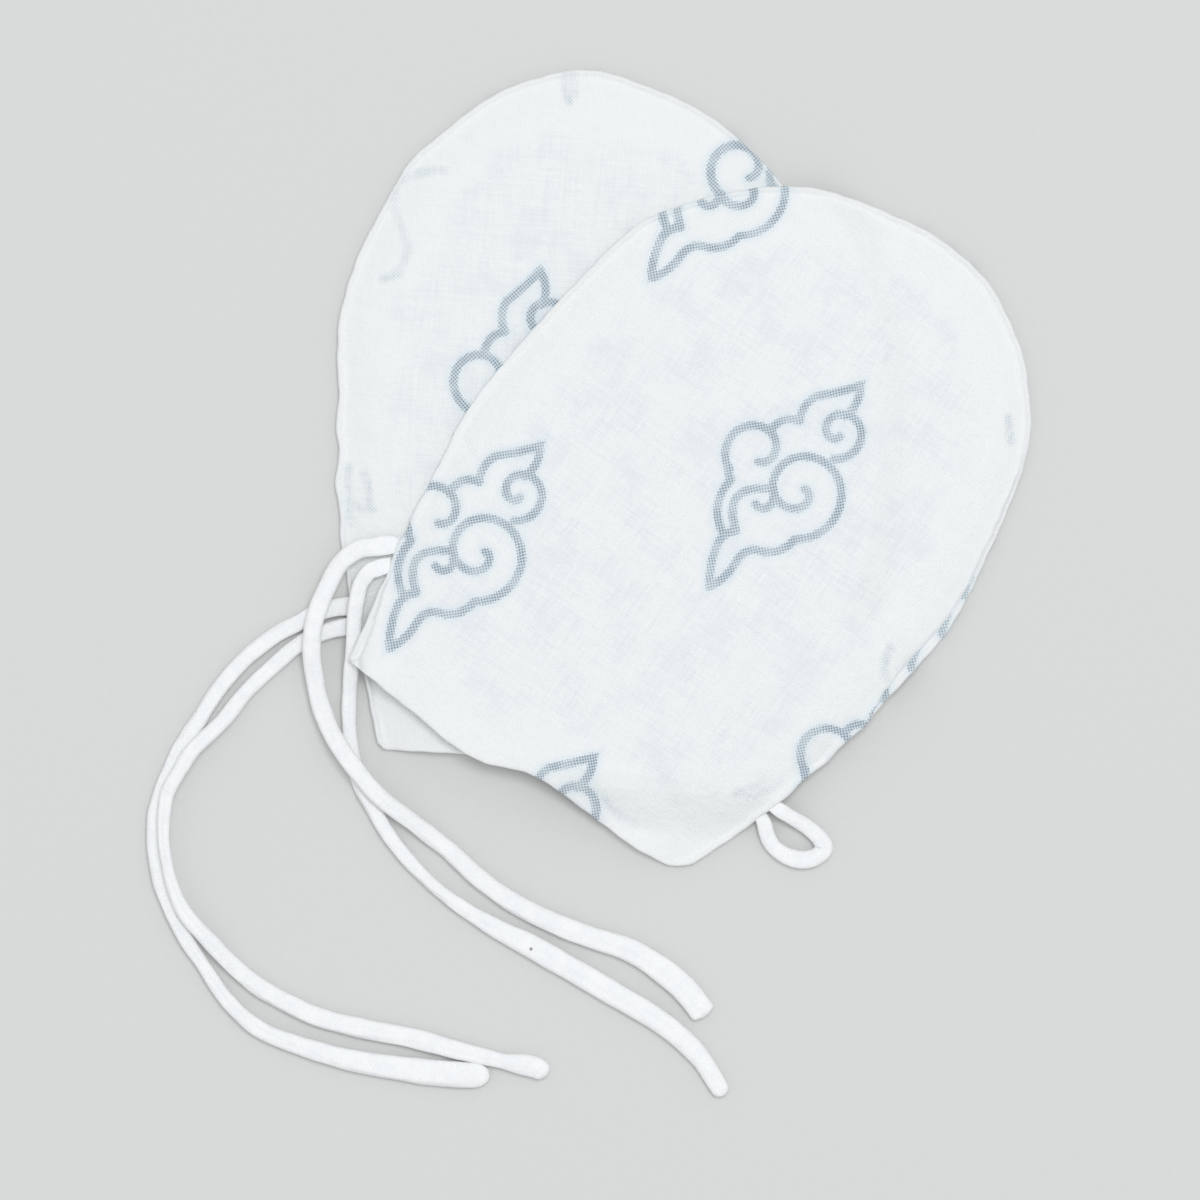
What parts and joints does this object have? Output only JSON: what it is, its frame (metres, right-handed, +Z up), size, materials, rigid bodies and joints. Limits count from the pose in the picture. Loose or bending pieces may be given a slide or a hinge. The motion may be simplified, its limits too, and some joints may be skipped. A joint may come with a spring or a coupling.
{
  "type": "pair of baby mittens",
  "caption": "Pair of no-thumb scratch mittens for a newborn in thin white printed muslin, lying flat one across the other, each with cloth ties in one side seam and a cloth loop in the other.",
  "frame": {"origin": "on the surface that the mittens lie on, at the middle of the footprint of the two mittens without their ties", "axes": "+Z up from the surface, +Y along the layout towards the fingertips of the lower mitten, +X across the layout"},
  "size_m": [0.1505, 0.1751, 0.0083],
  "materials": {
    "muslin": "matte",
    "tie_cloth": "matte"
  },
  "bodies": {
    "root": {"under_mitten_lower_panel": "muslin", "under_mitten_upper_panel": "muslin", "under_mitten_loop": "tie_cloth", "under_mitten_tie_1": "tie_cloth", "under_mitten_tie_2": "tie_cloth", "over_mitten_lower_panel": "muslin", "over_mitten_upper_panel": "muslin", "over_mitten_loop": "tie_cloth", "over_mitten_tie_1": "tie_cloth", "over_mitten_tie_2": "tie_cloth"}
  },
  "joints": []
}
